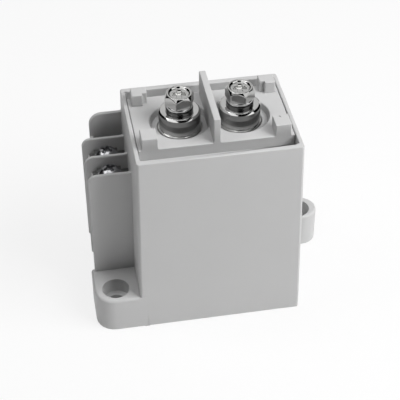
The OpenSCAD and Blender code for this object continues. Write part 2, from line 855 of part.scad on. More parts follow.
// Fixed core with a head on the yoke plate, a shaft bore and a spring pocket
module fixed_core() {
    color(iron)
        difference() {
            rotate_extrude()
                polygon([
                    [0, core_bottom],
                    [core_d / 2, core_bottom],
                    [core_d / 2, yoke_plate_top],
                    [core_head_d / 2, yoke_plate_top],
                    [core_head_d / 2, yoke_plate_top + core_head_t],
                    [0, yoke_plate_top + core_head_t]
                ]);
            translate([0, 0, core_bottom - cut])
                cylinder(d = shaft_d + 2 * running_gap, h = yoke_plate_top);
            translate([0, 0, core_bottom - cut])
                cylinder(d = return_pocket_d, h = return_pocket_depth + cut);
        }
}

module core_sleeve() {
    color(iron)
        translate([0, 0, bobbin_bottom])
            difference() {
                cylinder(d = sleeve_d, h = sleeve_h);
                translate([0, 0, -cut])
                    cylinder(d = core_tube_d + 2 * running_gap, h = sleeve_h + 2 * cut);
            }
}

// Bobbin: barrel with two round flanges
module bobbin() {
    color([0.2, 0.22, 0.24])
        rotate_extrude()
            polygon([
                [bobbin_bore_d / 2, bobbin_bottom],
                [bobbin_d / 2, bobbin_bottom],
                [bobbin_d / 2, winding_bottom],
                [barrel_d / 2, winding_bottom],
                [barrel_d / 2, winding_top],
                [bobbin_d / 2, winding_top],
                [bobbin_d / 2, bobbin_top],
                [bobbin_bore_d / 2, bobbin_top]
            ]);
}

module coil_winding() {
    color([0.72, 0.42, 0.2])
        translate([0, 0, winding_bottom])
            difference() {
                cylinder(d = winding_d, h = winding_top - winding_bottom);
                translate([0, 0, -cut])
                    cylinder(d = barrel_d, h = winding_top - winding_bottom + 2 * cut);
            }
}

module plunger_damper() {
    color([0.12, 0.12, 0.12])
        translate([0, 0, tube_floor])
            cylinder(d = tube_inner_d - 2 * running_gap, h = damper_t);
}

module plunger() {
    color(iron)
        difference() {
            translate([0, 0, plunger_bottom])
                cylinder(d = plunger_d, h = plunger_l);
            translate([0, 0, shaft_bottom])
                cylinder(d = shaft_d, h = plunger_top - shaft_bottom + cut);
            translate([0, 0, return_bottom])
                cylinder(d = return_pocket_d, h = return_pocket_depth + cut);
        }
}

// Shaft with a collar that carries the contact spring
module shaft() {
    color(nickel)
        rotate_extrude()
            polygon([
                [0, shaft_bottom],
                [shaft_d / 2, shaft_bottom],
                [shaft_d / 2, seat_ring_top - seat_ring_t],
                [seat_ring_d / 2, seat_ring_top - seat_ring_t],
                [seat_ring_d / 2, seat_ring_top],
                [shaft_d / 2, seat_ring_top],
                [shaft_d / 2, shaft_top],
                [0, shaft_top]
            ]);
}

// Open ring that holds the bridge on the shaft
module bridge_clip() {
    color(nickel)
        translate([0, 0, bridge_top])
            difference() {
                cylinder(d = clip_d, h = clip_t);
                translate([0, 0, -cut])
                    cylinder(d = shaft_d, h = clip_t + 2 * cut);
                translate([0, -shaft_d * clip_mouth / 2, -cut])
                    cube([clip_d, shaft_d * clip_mouth, clip_t + 2 * cut]);
            }
}

// Copper bar with a contact pad at each end
module contact_bridge() {
    color([0.8, 0.5, 0.3])
        difference() {
            union() {
                translate([-bridge_l / 2, -bridge_w / 2, bridge_bottom])
                    cube([bridge_l, bridge_w, bridge_t]);
                for (side = [-1, 1])
                    translate([side * terminal_x, 0, bridge_top - pad_root])
                        cylinder(d = pad_d, h = pad_t + pad_root);
            }
            translate([0, 0, bridge_bottom - cut])
                cylinder(d = shaft_d + 2 * running_gap, h = bridge_t + 2 * cut);
        }
}

// Wound compression spring with closed ends
module spring(bottom, top, mean_d, wire_d, turns) {
    sides = 6;
    steps_per_turn = 16;
    rings = round(turns * steps_per_turn);
    rise = top - bottom - wire_d;
    points = [for (i = [0:rings], k = [0:sides - 1]) let (
            turn = turns * i / rings,
            climb = min(max((turn - dead_turns) / (turns - 2 * dead_turns), 0), 1),
            a = 360 * turn,
            b = 360 * k / sides,
            r = mean_d / 2 + wire_d / 2 * cos(b)
        ) [r * cos(a), r * sin(a), bottom + wire_d / 2 + rise * climb + wire_d / 2 * sin(b)]];
    color(nickel)
        polyhedron(points, wire_faces(rings + 1, sides));
}

case();
top_cover();
terminal_post(-terminal_x);  // left_terminal_post
terminal_post(terminal_x);  // right_terminal_post
terminal_bolt(-terminal_x, bolt_turn[0]);  // left_terminal_bolt
terminal_bolt(terminal_x, bolt_turn[1]);  // right_terminal_bolt
spring_washer(-terminal_x, split_turn[0]);  // left_spring_washer
spring_washer(terminal_x, split_turn[1]);  // right_spring_washer
flat_washer(-terminal_x);  // left_flat_washer
flat_washer(terminal_x);  // right_flat_washer
coil_terminal(front_bay_y);  // front_coil_terminal
coil_terminal(rear_bay_y);  // rear_coil_terminal
coil_screw(front_bay_y, coil_turn[0]);  // front_coil_screw
coil_screw(rear_bay_y, coil_turn[1]);  // rear_coil_screw
clamp_washer(front_bay_y);  // front_clamp_washer
clamp_washer(rear_bay_y);  // rear_clamp_washer
coil_lead(front_bay_y);  // front_coil_lead
coil_lead(rear_bay_y);  // rear_coil_lead
arc_chamber();
chamber_flange();
magnet(-1);  // front_magnet
magnet(1);  // rear_magnet
magnet_yoke();
yoke_frame();
yoke_plate();
core_tube();
fixed_core();
core_sleeve();
bobbin();
coil_winding();
plunger_damper();
plunger();
shaft();
bridge_clip();
contact_bridge();
spring(return_bottom, return_top, return_mean_d, return_wire_d, return_turns);  // return_spring
spring(seat_ring_top, bridge_bottom, contact_mean_d, contact_wire_d, contact_turns);  // contact_spring
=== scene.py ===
import json
import math

import bmesh
import bpy
import numpy as np
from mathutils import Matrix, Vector


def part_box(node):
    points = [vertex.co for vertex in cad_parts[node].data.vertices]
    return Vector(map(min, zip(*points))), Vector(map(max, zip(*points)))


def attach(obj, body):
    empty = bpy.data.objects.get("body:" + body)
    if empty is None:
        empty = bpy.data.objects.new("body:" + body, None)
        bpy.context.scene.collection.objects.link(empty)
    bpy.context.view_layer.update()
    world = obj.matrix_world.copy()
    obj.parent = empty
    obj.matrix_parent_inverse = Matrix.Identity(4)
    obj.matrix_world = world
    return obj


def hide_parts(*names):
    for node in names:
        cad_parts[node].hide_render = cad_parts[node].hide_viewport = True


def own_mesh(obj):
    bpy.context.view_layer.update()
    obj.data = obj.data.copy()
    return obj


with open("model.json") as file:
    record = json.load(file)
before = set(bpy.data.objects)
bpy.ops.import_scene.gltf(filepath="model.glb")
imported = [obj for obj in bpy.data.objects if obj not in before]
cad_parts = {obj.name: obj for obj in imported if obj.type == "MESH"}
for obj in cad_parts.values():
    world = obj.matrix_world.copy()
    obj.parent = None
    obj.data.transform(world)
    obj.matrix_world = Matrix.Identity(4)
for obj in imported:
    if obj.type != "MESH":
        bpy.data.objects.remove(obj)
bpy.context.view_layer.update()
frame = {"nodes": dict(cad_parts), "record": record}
nodes = frame["nodes"]
mm = 0.001

# camera, matched to the picture's angle and framing
photoView = {
    "azimuth": -10.2,
    "elevation": 39.74,
    "distance": 349.0 * mm,
    "target": (0.0, 0.0, 30.0 * mm),
    "focalPixels": 1194.8,
    "imagePixels": 400,
    "axisPixel": (209.6, 199.6),
    "sensor": 36.0,
    "clipStart": 10.0 * mm,
}


# unit vector from the object, by degrees round from the front towards the right and degrees up
def lookOut(azimuth, elevation):
    a, e = math.radians(azimuth), math.radians(elevation)
    return Vector((math.sin(a) * math.cos(e), -math.cos(a) * math.cos(e), math.sin(e)))


# lens: focal length over picture width, shifted so that the view's axis meets its own pixel
def addCamera(setup):
    back = lookOut(setup["azimuth"], setup["elevation"])
    lens = bpy.data.cameras.new("photoView")
    lens.sensor_width = setup["sensor"]
    lens.lens = setup["focalPixels"] / setup["imagePixels"] * setup["sensor"]
    lens.shift_x = 0.5 - setup["axisPixel"][0] / setup["imagePixels"]
    lens.shift_y = setup["axisPixel"][1] / setup["imagePixels"] - 0.5
    lens.clip_start = setup["clipStart"]
    camera = bpy.data.objects.new("photoView", lens)
    camera.location = Vector(setup["target"]) + back * setup["distance"]
    camera.rotation_euler = (-back).to_track_quat("-Z", "Y").to_euler()
    bpy.context.scene.collection.objects.link(camera)
    bpy.context.scene.camera = camera


addCamera(photoView)
bpy.context.scene.view_settings.view_transform = "Standard"
print("camera set")

# small helpers for node materials


def newMaterial(name):
    material = bpy.data.materials.new(name)
    material.use_nodes = True
    tree = material.node_tree
    return material, tree, tree.nodes["Principled BSDF"]


def addNode(tree, kind, inputs=None, **settings):
    made = tree.nodes.new(kind)
    for key, value in settings.items():
        setattr(made, key, value)
    for key, value in (inputs or {}).items():
        if hasattr(value, "is_output"):
            tree.links.new(value, made.inputs[key])
        else:
            made.inputs[key].default_value = value
    return made


def objectPoint(tree):
    return addNode(tree, "ShaderNodeTexCoord").outputs["Object"]


def noise(tree, point, scale, detail, roughness=0.5):
    made = addNode(tree, "ShaderNodeTexNoise", {
        "Vector": point, "Scale": scale, "Detail": detail, "Roughness": roughness,
    })
    return made.outputs["Fac"]


def mapped(tree, value, low, high, fromLow=0.0, fromHigh=1.0):
    made = addNode(tree, "ShaderNodeMapRange", {
        "Value": value, "From Min": fromLow, "From Max": fromHigh, "To Min": low, "To Max": high,
    })
    return made.outputs["Result"]


def shades(tree, factor, dark, light):
    ramp = addNode(tree, "ShaderNodeValToRGB", {"Fac": factor})
    ramp.color_ramp.elements[0].color = (*dark, 1.0)
    ramp.color_ramp.elements[1].color = (*light, 1.0)
    return ramp.outputs["Color"]


def scaled(values, share):
    return tuple(value * share for value in values)


def bumped(tree, shader, height, strength, distance):
    made = addNode(tree, "ShaderNodeBump", {"Height": height, "Strength": strength, "Distance": distance})
    tree.links.new(made.outputs["Normal"], shader.inputs["Normal"])


# moulded plastic: a fine etched grain and a faint cloudy colour
def mouldedPlastic(name, look):
    material, tree, shader = newMaterial(name)
    point = objectPoint(tree)
    cloud = noise(tree, point, look["cloudScale"], detail=4.0)
    dark = scaled(look["colour"], 1 - look["cloudDepth"])
    light = scaled(look["colour"], 1 + look["cloudDepth"])
    tree.links.new(shades(tree, cloud, dark, light), shader.inputs["Base Color"])
    grain = noise(tree, point, look["grainScale"], detail=2.0, roughness=0.6)
    dull, spread = look["roughness"], look["roughnessSpread"]
    tree.links.new(mapped(tree, grain, dull - spread, dull + spread), shader.inputs["Roughness"])
    bumped(tree, shader, grain, look["grainStrength"], look["grainDepth"])
    shader.inputs["IOR"].default_value = look["ior"]
    shader.inputs["Specular IOR Level"].default_value = look["gloss"]
    return material


# distance from the nearer of two upright axes, one each side of the middle
def axisReach(tree, split, axisX):
    side = addNode(tree, "ShaderNodeMath", {0: split.outputs["X"]}, operation="ABSOLUTE")
    across = addNode(tree, "ShaderNodeMath", {0: side.outputs[0], 1: axisX}, operation="SUBTRACT")
    level = addNode(tree, "ShaderNodeCombineXYZ", {"X": across.outputs[0], "Y": split.outputs["Y"]})
    length = addNode(tree, "ShaderNodeVectorMath", {0: level.outputs[0]}, operation="LENGTH")
    return length.outputs["Value"]


# outer wall of a turned piece: its colour times a painted shade by height, past a distance from the axis
def paintedShadeWall(tree, split, reach, colour, look):
    tone = addNode(tree, "ShaderNodeValToRGB", {
        "Fac": mapped(tree, split.outputs["Z"], 0.0, 1.0, *look["wallHeights"]),
    })
    stops = tone.color_ramp.elements
    stops.remove(stops[1])
    for place, grey in look["paintedShadeTones"][1:]:
        stops.new(place)
    for stop, (place, grey) in zip(stops, look["paintedShadeTones"]):
        stop.position, stop.color = place, (grey, grey, grey, 1.0)
    onWall = mapped(tree, reach, 0.0, 1.0, *look["wallReach"])
    mix = {0: onWall, 6: colour, 7: tone.outputs["Color"]}  # sockets 6 and 7 are the node's two colours
    return addNode(tree, "ShaderNodeMix", mix, data_type="RGBA", blend_type="MULTIPLY").outputs[2]


scratchShares = (0.7, 1.4)  # least and most, as shares of a plate's roughness


# plated metal: a smooth plate with faint blotches and fine scratches; on a turned piece the bump
# is rings about its axis, and the outer wall gets a painted shade by height
def platedMetal(name, look):
    material, tree, shader = newMaterial(name)
    point = objectPoint(tree)
    blotch = noise(tree, point, look["blotchScale"], detail=5.0)
    colour = shades(tree, blotch, scaled(look["colour"], 1 - look["blotchDepth"]), look["colour"])
    scratch = noise(tree, point, look["scratchScale"], detail=4.0, roughness=0.7)
    smooth, rough = scaled(scratchShares, look["roughness"])
    tree.links.new(mapped(tree, scratch, smooth, rough), shader.inputs["Roughness"])
    shader.inputs["Metallic"].default_value = 1.0
    height = scratch
    if "axisX" in look:
        split = addNode(tree, "ShaderNodeSeparateXYZ", {"Vector": point})
        reach = axisReach(tree, split, look["axisX"])
        rings = addNode(tree, "ShaderNodeCombineXYZ", {"X": reach, "Z": split.outputs["Z"]})
        height = noise(tree, rings.outputs[0], look["ringScale"], detail=2.0)
        # painted shade on the outer wall, by height
        colour = paintedShadeWall(tree, split, reach, colour, look)
    tree.links.new(colour, shader.inputs["Base Color"])
    bumped(tree, shader, height, look["bumpStrength"], look["bumpDepth"])
    return material


speckleSpread = 0.08  # how far a speckled finish's roughness strays


# plain solids of one stuff: speckled colour, speckled roughness and a light bump
def speckled(name, look):
    material, tree, shader = newMaterial(name)
    speck = noise(tree, objectPoint(tree), look["scale"], detail=4.0, roughness=0.6)
    tree.links.new(shades(tree, speck, look["dark"], look["light"]), shader.inputs["Base Color"])
    smooth, rough = look["roughness"] - speckleSpread, look["roughness"] + speckleSpread
    tree.links.new(mapped(tree, speck, smooth, rough), shader.inputs["Roughness"])
    shader.inputs["Metallic"].default_value = look.get("metallic", 0.0)
    bumped(tree, shader, speck, look["bumpStrength"], look["bumpDepth"])
    return material


terminalX = 8.4 * mm  # from the middle to the axis of a post and its bolt

plasticLook = {
    "colour": (0.56, 0.56, 0.56), "cloudScale": 55.0, "cloudDepth": 0.025,
    "roughness": 0.52, "roughnessSpread": 0.06, "gloss": 0.42, "ior": 1.5,
    "grainScale": 5200.0, "grainStrength": 0.2, "grainDepth": 0.02 * mm,
}
boltLook = {
    "colour": (0.66, 0.66, 0.65), "blotchScale": 420.0, "blotchDepth": 0.1, "roughness": 0.08,
    "scratchScale": 2600.0, "bumpStrength": 0.05, "bumpDepth": 0.01 * mm,
    "axisX": terminalX, "ringScale": 7000.0, "wallReach": (3.5 * mm, 3.58 * mm),
    # painted shade: the hex sides are darkened evenly below the bright top
    "wallHeights": (65.4 * mm, 68.9 * mm), "paintedShadeTones": [(0.0, 0.72), (1.0, 0.72)],
}
screwLook = {
    "colour": (0.4, 0.4, 0.41), "blotchScale": 420.0, "blotchDepth": 0.2, "roughness": 0.22,
    "scratchScale": 2600.0, "bumpStrength": 0.08, "bumpDepth": 0.01 * mm,
}
# flat washers: near-black, painted shade under the spring washer
paintedShadeWasherLook = {
    "colour": (0.14, 0.14, 0.14), "blotchScale": 500.0, "blotchDepth": 0.3, "roughness": 0.2,
    "scratchScale": 2600.0, "bumpStrength": 0.05, "bumpDepth": 0.01 * mm,
}
springSteelLook = {
    "colour": (0.66, 0.66, 0.66), "blotchScale": 500.0, "blotchDepth": 0.15, "roughness": 0.16,
    "scratchScale": 2600.0, "bumpStrength": 0.05, "bumpDepth": 0.01 * mm,
}
terminalLook = {
    "colour": (0.74, 0.74, 0.73), "blotchScale": 300.0, "blotchDepth": 0.12, "roughness": 0.08,
    "scratchScale": 2400.0, "bumpStrength": 0.05, "bumpDepth": 0.01 * mm,
    "axisX": terminalX, "ringScale": 9000.0, "wallReach": (5.6 * mm, 5.72 * mm),
    "wallHeights": (57.0 * mm, 63.4 * mm),
    # painted shade up the collar wall: darkest up its middle, the flange and chamfer left bright
    "paintedShadeTones": [(0.0, 1.0), (0.2, 1.0), (0.235, 0.6), (0.45, 0.38), (0.8, 0.3), (0.915, 0.3), (0.93, 1.0)],
}
ironLook = {
    "dark": (0.44, 0.45, 0.46), "light": (0.62, 0.63, 0.63), "scale": 700.0, "roughness": 0.36,
    "metallic": 1.0, "bumpStrength": 0.12, "bumpDepth": 0.01 * mm,
}
wireLook = {
    "dark": (0.42, 0.16, 0.05), "light": (0.66, 0.3, 0.12), "scale": 900.0, "roughness": 0.3,
    "metallic": 0.75, "bumpStrength": 0.05, "bumpDepth": 0.005 * mm,
}
copperLook = {
    "dark": (0.66, 0.33, 0.19), "light": (0.82, 0.46, 0.3), "scale": 500.0, "roughness": 0.3,
    "metallic": 1.0, "bumpStrength": 0.1, "bumpDepth": 0.008 * mm,
}
ceramicLook = {
    "dark": (0.74, 0.72, 0.68), "light": (0.86, 0.84, 0.8), "scale": 900.0, "roughness": 0.62,
    "bumpStrength": 0.2, "bumpDepth": 0.015 * mm,
}
ferriteLook = {
    "dark": (0.035, 0.035, 0.038), "light": (0.09, 0.09, 0.095), "scale": 1500.0, "roughness": 0.5,
    "bumpStrength": 0.35, "bumpDepth": 0.02 * mm,
}
nylonLook = {
    "dark": (0.02, 0.02, 0.022), "light": (0.045, 0.045, 0.048), "scale": 1800.0, "roughness": 0.5,
    "bumpStrength": 0.2, "bumpDepth": 0.012 * mm,
}
rubberLook = {
    "dark": (0.012, 0.012, 0.012), "light": (0.03, 0.03, 0.03), "scale": 1200.0, "roughness": 0.8,
    "bumpStrength": 0.3, "bumpDepth": 0.02 * mm,
}
finishes = {
    "case_plastic": mouldedPlastic("casePlastic", plasticLook),
    "cover_plastic": mouldedPlastic("coverPlastic", plasticLook),
    "bolt_metal": platedMetal("boltPlate", boltLook),
    "terminal_metal": platedMetal("terminalPlate", terminalLook),
    "yoke_steel": speckled("zincIron", ironLook),
    "winding_wire": speckled("enamelWire", wireLook),
    "contact_copper": speckled("bareCopper", copperLook),
    "chamber_ceramic": speckled("whiteCeramic", ceramicLook),
    "magnet_ferrite": speckled("ferrite", ferriteLook),
    "bobbin_plastic": speckled("blackNylon", nylonLook),
    "damper_rubber": speckled("blackRubber", rubberLook),
}
# round washers and coil screws have finishes of their own; the flat washers' near-black is painted shade for
# the dark band under the spring washer
springSteel = platedMetal("springSteel", springSteelLook)
paintedShadeWasher = platedMetal("paintedShadeWasher", paintedShadeWasherLook)
screwPlate = platedMetal("screwPlate", screwLook)
slotOf = {part["node"]: part["material_slot"] for part in frame["record"]["subparts"]}
bodyOf = {node: body for body, members in frame["record"]["behaviour"]["bodies"].items() for node in members}
print("materials:", len(finishes))

# shared ways of making a mesh


def dress(piece, node, finish=None):
    piece.data.materials.clear()
    piece.data.materials.append(finish or finishes[slotOf[node]])
    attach(piece, bodyOf[node])
    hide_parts(node)
    return piece


def smoothShade(mesh, sharpFrom):
    mesh.polygons.foreach_set("use_smooth", np.ones(len(mesh.polygons), bool))
    mesh.set_sharp_from_angle(angle=math.radians(sharpFrom))


def closeMesh(mesh, gap=0.0002 * mm):
    work = bmesh.new()
    work.from_mesh(mesh)
    bmesh.ops.remove_doubles(work, verts=work.verts, dist=gap)
    bmesh.ops.recalc_face_normals(work, faces=work.faces)
    work.to_mesh(mesh)
    work.free()


# each cell of a grid joins a point to its neighbours along the rows and round the columns
def addSurface(name, grid, wrapRows=False, capEnds=False, smoothAngle=32.0):
    rows, columns = grid.shape[:2]
    i, j = np.meshgrid(np.arange(rows - (not wrapRows)), np.arange(columns), indexing="ij")
    iNext, jNext = (i + 1) % rows, (j + 1) % columns
    here, after = i * columns, iNext * columns
    cells = np.stack([here + j, here + jNext, after + jNext, after + j], -1)
    faces = cells.reshape(-1, 4).tolist()
    if capEnds:
        last = (rows - 1) * columns
        faces += [list(range(columns)), list(range(last, last + columns))]
    mesh = bpy.data.meshes.new(name)
    mesh.from_pydata(grid.reshape(-1, 3).tolist(), [], faces)
    closeMesh(mesh)
    smoothShade(mesh, smoothAngle)
    piece = bpy.data.objects.new(name, mesh)
    bpy.context.scene.collection.objects.link(piece)
    return piece


# a corner of an outline becomes an arc: points on the circle that touches both of its sides
def roundCorners(corners, radii, steps=5):
    corners = np.asarray(corners, float)
    out = []
    for k, radius in enumerate(radii):
        here = corners[k]
        if radius <= 0 or k in (0, len(corners) - 1):
            out.append(here[None])
            continue
        a = (corners[k - 1] - here) / np.linalg.norm(corners[k - 1] - here)
        b = (corners[k + 1] - here) / np.linalg.norm(corners[k + 1] - here)
        half = math.acos(np.clip(a @ b, -1, 1)) / 2
        centre = here + (a + b) / np.linalg.norm(a + b) * radius / math.sin(half)
        start, end = here + a * radius / math.tan(half), here + b * radius / math.tan(half)
        t = np.linspace(0, 1, steps)[:, None]
        spoke = (start - centre) * (1 - t) + (end - centre) * t
        out.append(centre + spoke / np.linalg.norm(spoke, axis=1)[:, None] * radius)
    return np.concatenate(out)


# a profile of radius and height turned once about an upright axis
def turned(profile, centre, columns):
    angle = np.linspace(0, 2 * np.pi, columns, endpoint=False)
    r, z = profile[:, :1], profile[:, 1:]
    x, y = centre[0] + r * np.cos(angle), centre[1] + r * np.sin(angle)
    return np.stack([x, y, np.broadcast_to(z, x.shape)], -1)


# a round tube: at each point of a path, a circle in the plane of the path's side and up directions
def tube(path, side, up, radius, sides):
    angle = np.linspace(0, 2 * np.pi, sides, endpoint=False)[None, :, None]
    return path[:, None] + radius * (np.cos(angle) * side[:, None] + np.sin(angle) * up[:, None])


# rounding of a CAD solid's outer edges; angles in degrees
rounding = {
    "merge": 0.001 * mm, "flatAngle": 0.05, "sharpAngle": 35.0, "smoothAngle": 40.0, "shadingWeight": 70,
    "patchShare": 0.4,  # of the narrower face beside an edge
    "runOut": 2.5, "innerGap": 0.3 * mm, "bareShare": 0.6,  # how it ends before an inner corner
    "rimLevel": 0.02 * mm,
}


# two faces meet here at more than the sharp angle
def isSharp(edge):
    return len(edge.link_faces) == 2 and edge.calc_face_angle() > math.radians(rounding["sharpAngle"])


# both ends lie level with the top of the lugs
def onRim(edge, lug):
    return lug and all(abs(corner.co.z - lug["top"]) < rounding["rimLevel"] for corner in edge.verts)


# distance from a spot to the nearest of some points, 1 m at most
def nearest(points, spot):
    return np.linalg.norm(points - np.array(spot), axis=1).min(initial=1.0)


# how wide each smooth patch of faces is, as twice its area over the length of its sharp border
def patchWidths(work):
    patch, widths = {}, []
    for face in work.faces:
        if face in patch:
            continue
        patch[face], waiting, area, border = len(widths), [face], 0.0, 0.0
        while waiting:
            here = waiting.pop()
            area += here.calc_area()
            for edge in here.edges:
                if edge.calc_face_angle(math.pi) > math.radians(rounding["sharpAngle"]):
                    border += edge.calc_length()
                    continue
                for other in edge.link_faces:
                    if other not in patch:
                        patch[other] = len(widths)
                        waiting.append(other)
        widths.append(2 * area / max(border, 1e-9))
    return patch, widths


# both faces at an edge are cut by the plane square to it, a distance from one end
def cutAcross(work, edge, corner, distance):
    along = (edge.other_vert(corner).co - corner.co).normalized()
    parts = dict.fromkeys(part for face in edge.link_faces for part in (face, *face.edges, *face.verts))
    bmesh.ops.bisect_plane(work, geom=list(parts), plane_co=corner.co + along * distance, plane_no=along)


# outer edges are split a little before each inner corner, so that their rounding can end there
def splitEnds(work, sharp, ends, runOut, lug):
    for edge in sharp:
        atRim = onRim(edge, lug)
        for corner in edge.verts:
            if not edge.is_convex or not nearest(ends, corner.co) < rounding["innerGap"]:
                continue
            if atRim and edge.calc_length() > 2 * lug["runOut"]:
                cutAcross(work, edge, corner, lug["runOut"])
            elif not atRim and edge.calc_length() > 2 * runOut:
                bmesh.utils.edge_split(edge, corner, runOut / edge.calc_length())


# each outer edge's share of the widest rounding: less beside a narrow face, none by an inner corner
# or round a lug's hole, and most along the rim of a lug
def weighEdges(work, ends, width, widest, runOut, lug):
    patch, widths = patchWidths(work)
    weight = work.edges.layers.float.new("bevel_weight_edge")
    for edge in work.edges:
        if not isSharp(edge) or not edge.is_convex:
            continue
        wanted, middle = width, (edge.verts[0].co + edge.verts[1].co) / 2
        atRim = onRim(edge, lug)
        if nearest(ends, middle) < rounding["bareShare"] * (lug["runOut"] if atRim else runOut):
            continue
        if atRim:
            fromHole = math.hypot(abs(middle.x) - lug["holeX"], abs(middle.y) - lug["holeY"])
            wanted = 0.0 if fromHole < lug["holeClear"] else lug["edge"]
        room = rounding["patchShare"] * min(widths[patch[face]] for face in edge.link_faces)
        edge[weight] = min(wanted, room) / widest


# the CAD solid itself, merged, with its flat faces made whole and its outer edges rounded
def finishedCopy(node, width, segments=2, lug=None):
    mesh = nodes[node].data.copy()
    piece = bpy.data.objects.new(node + "Finished", mesh)
    work = bmesh.new()
    work.from_mesh(mesh)
    bmesh.ops.remove_doubles(work, verts=work.verts, dist=rounding["merge"])
    flat = math.radians(rounding["flatAngle"])
    bmesh.ops.dissolve_limit(work, angle_limit=flat, verts=work.verts, edges=work.edges)
    sharp = [edge for edge in work.edges if isSharp(edge)]
    inner = [corner.co[:] for edge in sharp if not edge.is_convex for corner in edge.verts]
    ends = np.array(inner).reshape(-1, 3)
    runOut, widest = rounding["runOut"] * width, lug["edge"] if lug else width
    splitEnds(work, sharp, ends, runOut, lug)
    weighEdges(work, ends, width, widest, runOut, lug)
    work.to_mesh(mesh)
    work.free()
    bpy.context.scene.collection.objects.link(piece)
    edges = piece.modifiers.new("edges", "BEVEL")
    edges.width, edges.segments = widest, segments
    edges.limit_method, edges.use_clamp_overlap = "WEIGHT", False
    evaluated = piece.evaluated_get(bpy.context.evaluated_depsgraph_get())
    rounded = bpy.data.meshes.new_from_object(evaluated)
    piece.modifiers.clear()
    piece.data = rounded
    smoothShade(rounded, rounding["smoothAngle"])
    shading = piece.modifiers.new("shading", "WEIGHTED_NORMAL")  # large flat faces stay flat
    shading.mode, shading.keep_sharp, shading.weight = "FACE_AREA", True, rounding["shadingWeight"]
    return dress(piece, node)


# moulded case and cover
moulding = {"caseEdge": 0.34 * mm, "coverEdge": 0.26 * mm, "segments": 3}
lugShape = {
    "edge": 0.8 * mm, "top": 11.5 * mm, "runOut": 2.4 * mm,
    "holeX": 30.0 * mm, "holeY": 13.0 * mm, "holeClear": 4.4 * mm,
}
finishedCopy("case", moulding["caseEdge"], moulding["segments"], lugShape)
finishedCopy("top_cover", moulding["coverEdge"], moulding["segments"])
print("case and cover finished")

# bent and stamped pieces, and the pieces sealed inside
sheetEdges = {
    "front_coil_terminal": 0.12, "rear_coil_terminal": 0.12,
    "front_clamp_washer": 0.12, "rear_clamp_washer": 0.12,
    "arc_chamber": 0.3, "chamber_flange": 0.1,
    "front_magnet": 0.25, "rear_magnet": 0.25, "magnet_yoke": 0.15,
    "yoke_frame": 0.25, "yoke_plate": 0.2,
    "core_tube": 0.1, "fixed_core": 0.15, "core_sleeve": 0.15, "bobbin": 0.15,
    "plunger_damper": 0.2, "plunger": 0.15, "shaft": 0.1, "bridge_clip": 0.08, "contact_bridge": 0.15,
}
for sheetNode, sheetEdge in sheetEdges.items():
    finishedCopy(sheetNode, sheetEdge * mm)
print("sheet and inner pieces finished:", len(sheetEdges))

# main terminal posts; lengths are in mm from here to the winding
postShape = {
    "stemRadius": 4.2, "flangeRadius": 6.05, "neckRadius": 5.68, "collarRadius": 5.8, "boreRadius": 2.55,
    "collarHeight": 5.4, "flangeHeight": 1.2, "neckHeight": 0.25, "collarStart": 0.45, "chamfer": 0.5,
    "boreDepth": 7.0, "drillTip": 1.2, "columns": 128,
    "stemRound": 0.3, "seatRound": 0.15, "flangeRound": 0.18, "neckRound": 0.08, "collarRound": 0.14,
    "mouthRound": 0.15, "crease": 0.05,
}


# post: an outline of stem, flange, undercut neck, chamfered collar and bore, turned about its axis
def addPost(node, shape):
    low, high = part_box(node)
    bottom, top = low.z / mm, high.z / mm
    shoulder = top - shape["collarHeight"]
    seat, boreEnd = shoulder - shape["flangeHeight"], top - shape["boreDepth"]
    stem, flange, neck = shape["stemRadius"], shape["flangeRadius"], shape["neckRadius"]
    collar, bore, chamfer = shape["collarRadius"], shape["boreRadius"], shape["chamfer"]
    outline = [  # radius, height and rounding of each corner
        (0, bottom, 0),
        (stem, bottom, shape["stemRound"]),
        (stem, seat, shape["crease"]),
        (flange, seat, shape["seatRound"]),
        (flange, shoulder, shape["flangeRound"]),
        (neck, shoulder, shape["crease"]),
        (neck, shoulder + shape["neckHeight"], shape["neckRound"]),
        (collar, shoulder + shape["collarStart"], shape["neckRound"]),
        (collar, top - chamfer, shape["collarRound"]),
        (collar - chamfer, top, shape["collarRound"]),
        (bore, top, shape["mouthRound"]),
        (bore, boreEnd, shape["crease"]),
        (0, boreEnd - shape["drillTip"], 0),
    ]
    profile = roundCorners([corner[:2] for corner in outline], [corner[2] for corner in outline]) * mm
    centre = ((low + high) / 2).to_tuple()
    return dress(addSurface(node + "Turned", turned(profile, centre, shape["columns"])), node)


for side in ("left", "right"):
    addPost(side + "_terminal_post", postShape)
print("posts turned")

# threaded pieces share one grid: rows run up the meridian from the tip, columns run round
threadForm = {"crest": 1.25, "endDepth": 0.35}  # flattens the crests; share of the depth at both ends
crossForm = {"endFade": 0.5, "coreFull": 0.9, "coreEnd": 1.5}  # a length, then shares of an arm's width


# thread: the radius falls from the crest by a triangle wave of height less angle, fading at both ends
def threadRows(bottom, top, shape, angle):
    pitch, depth = shape["pitch"], shape["threadDepth"]
    z = np.linspace(bottom, top, int((top - bottom) / pitch * shape["perTurn"]))[:, None]
    phase = (z / pitch - angle[None] / (2 * np.pi)) % 1.0
    ridge = np.clip((1 - np.abs(2 * phase - 1)) * threadForm["crest"], 0, 1)
    fade = np.clip(np.minimum(z - bottom, top - z) / pitch, 0, 1)
    radius = shape["threadRadius"] - depth * (1 - ridge) * fade - threadForm["endDepth"] * depth * (1 - fade)
    return radius, np.broadcast_to(z, radius.shape)


# eased step: of the share of the way from low to high, three times its square less twice its cube
def smoothStep(value, low, high):
    t = np.clip((value - low) / (high - low), 0, 1)
    return t * t * (3 - 2 * t)


